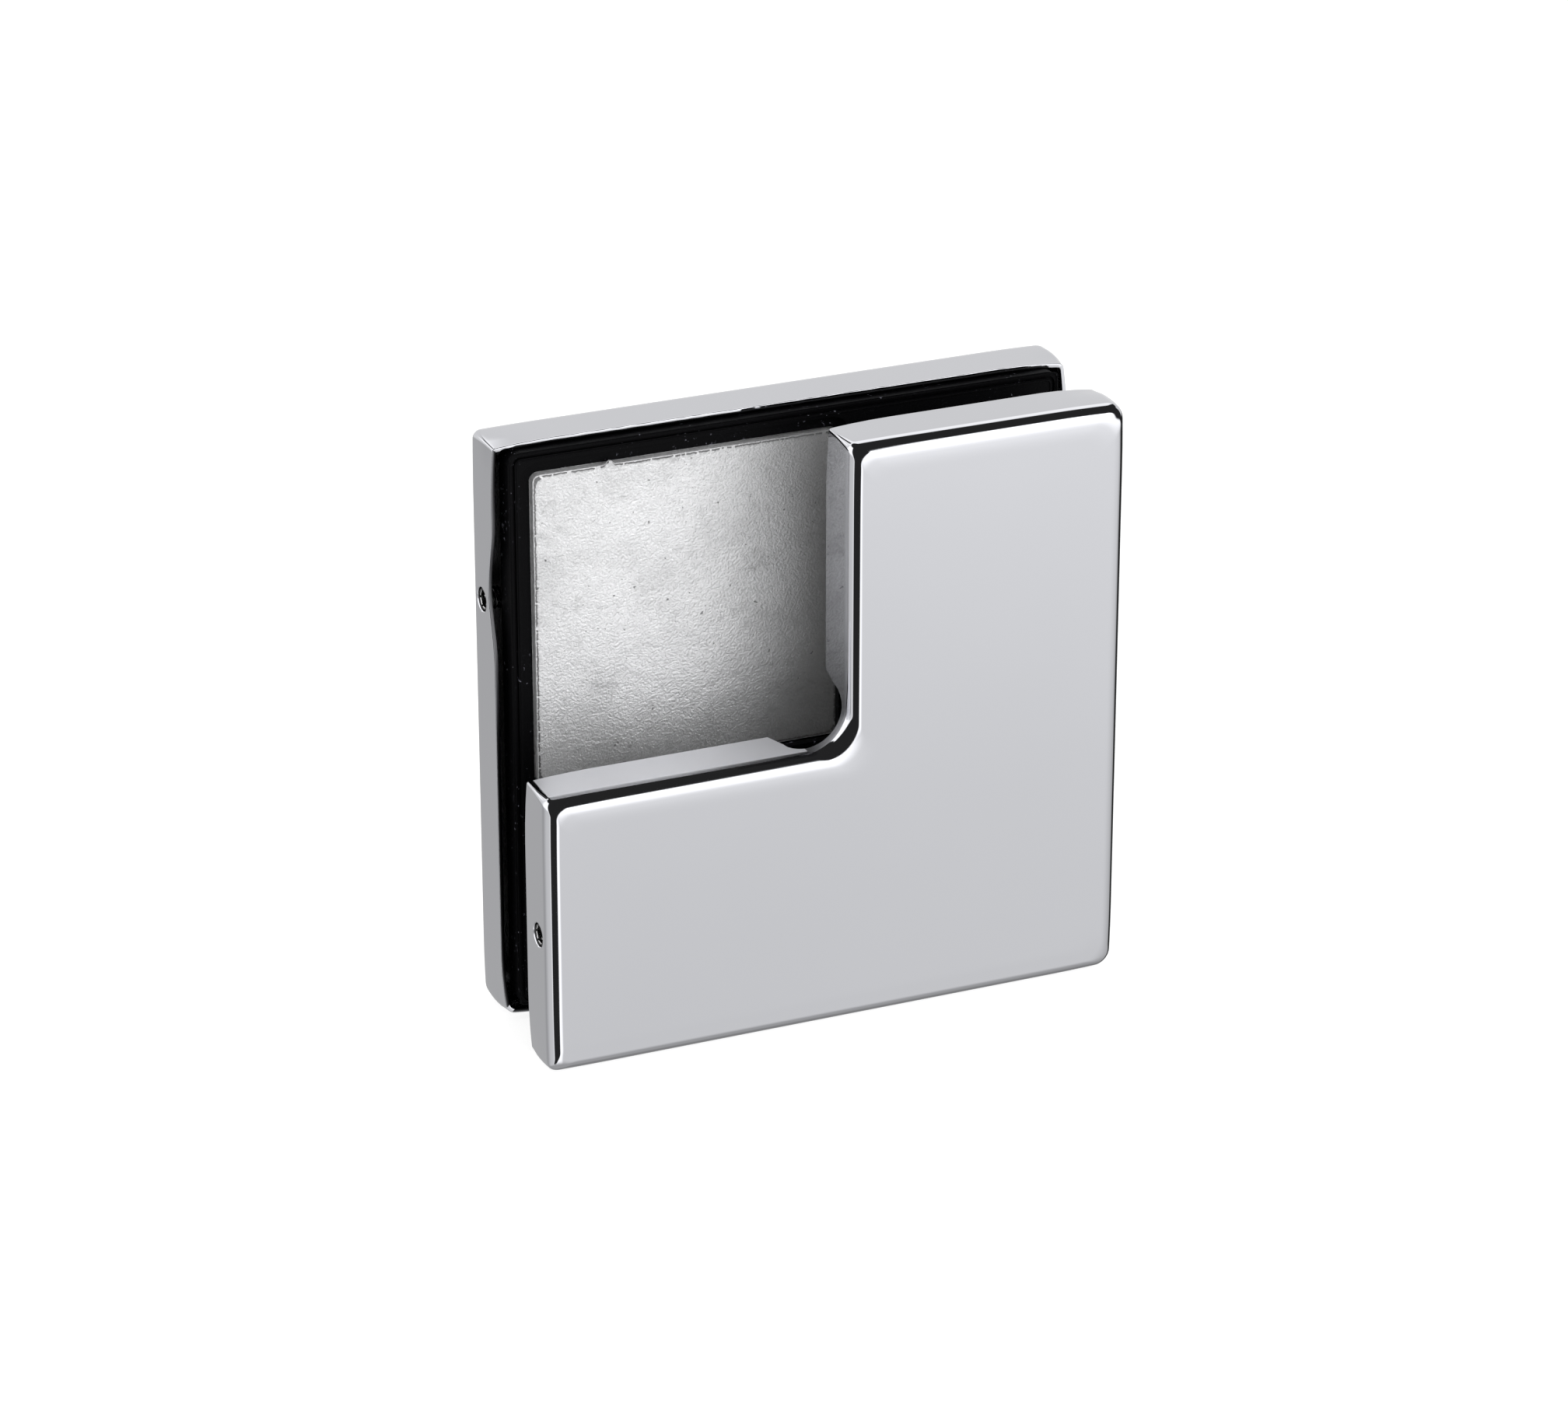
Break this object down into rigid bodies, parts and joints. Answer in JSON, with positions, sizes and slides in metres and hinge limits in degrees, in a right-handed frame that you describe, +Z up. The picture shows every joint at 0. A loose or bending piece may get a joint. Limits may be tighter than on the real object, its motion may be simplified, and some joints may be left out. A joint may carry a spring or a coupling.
{
  "type": "glass door patch connector",
  "caption": "L-shaped front cover and square rear cover over castings with rubber gaskets, which clamp glass panes around the corner of a door leaf.",
  "frame": {"origin": "centre of the bounding box's base: halfway across the width, in the middle of the glass, on the bottom walls of both covers", "axes": "+X to the right seen from the front cover, +Y from the front cover to the rear cover, +Z up along the upright arm"},
  "size_m": [0.108, 0.0354, 0.108],
  "materials": {
    "polished_steel": "mirror polished",
    "cast_aluminium": "as cast, rough",
    "black_rubber": "matt with a slight sheen",
    "zinc_steel": "zinc plated",
    "screw_steel": "bright",
    "white_nylon": "matt"
  },
  "bodies": {
    "root": {"front_cover": "polished_steel", "rear_cover": "polished_steel", "front_clamp": "cast_aluminium", "rear_clamp": "cast_aluminium", "front_gasket": "black_rubber", "rear_gasket": "black_rubber", "clamp_bolts": "zinc_steel", "bolt_washers": "zinc_steel", "glass_bush_left": "white_nylon", "glass_bush_corner": "white_nylon", "glass_bush_top": "white_nylon", "cover_screws": "screw_steel"}
  },
  "joints": []
}
